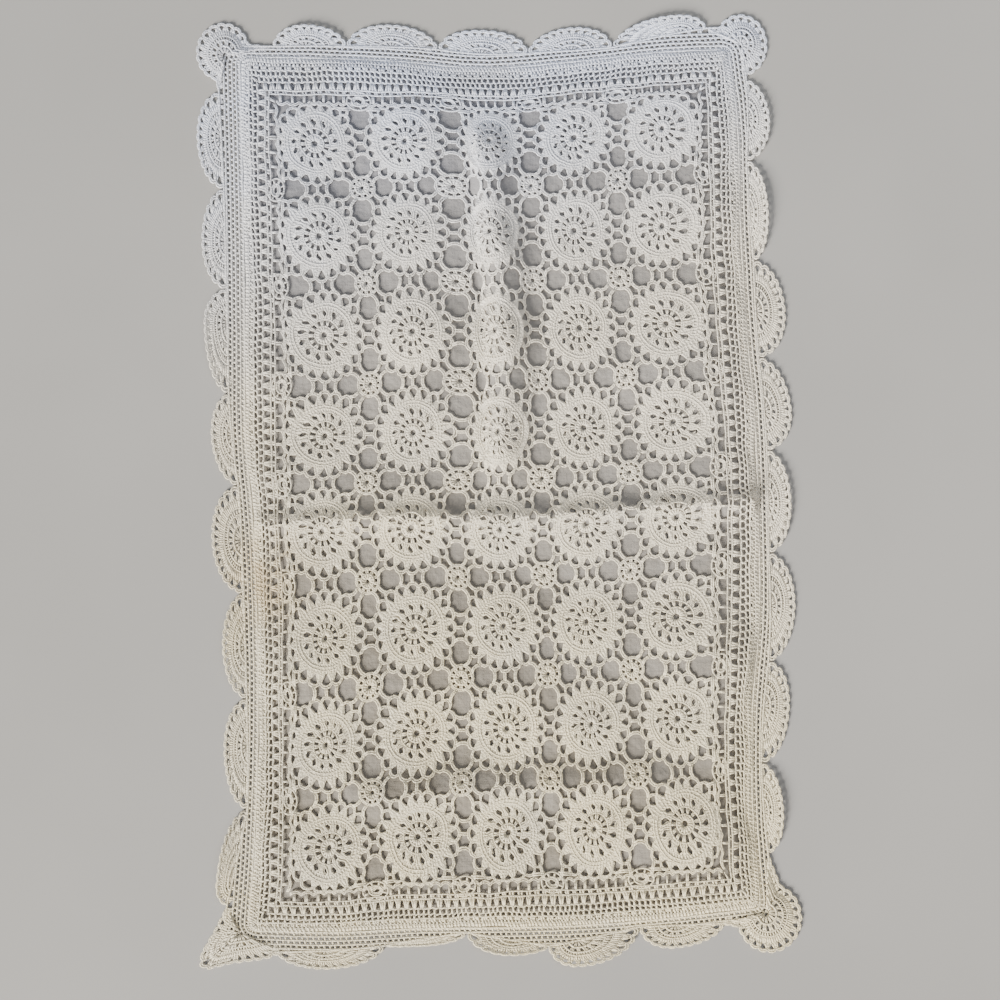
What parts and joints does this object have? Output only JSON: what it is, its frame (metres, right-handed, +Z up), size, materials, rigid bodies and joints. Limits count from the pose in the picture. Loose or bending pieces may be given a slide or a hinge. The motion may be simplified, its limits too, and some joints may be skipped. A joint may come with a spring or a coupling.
{
  "type": "crochet pillow sham",
  "caption": "Empty king-size pillow sham lying flat: a crocheted wheel-motif face over a cotton lining, a plain cotton back and a scalloped lace edging all round.",
  "frame": {"origin": "on the surface it lies on, under the middle of its outline", "axes": "+X across the sham, +Y along it, +Z up from the surface through the crocheted face"},
  "size_m": [0.6238, 0.985, 0.0233],
  "materials": {
    "crochet_cotton": "white mercerised cotton yarn, crocheted, matt with a faint sheen",
    "lining_cotton": "plain-woven grey-white cotton, matt"
  },
  "bodies": {
    "root": {"case_back": "lining_cotton", "case_lining": "lining_cotton", "crochet_face": "crochet_cotton", "lace_edging": "crochet_cotton"}
  },
  "joints": []
}
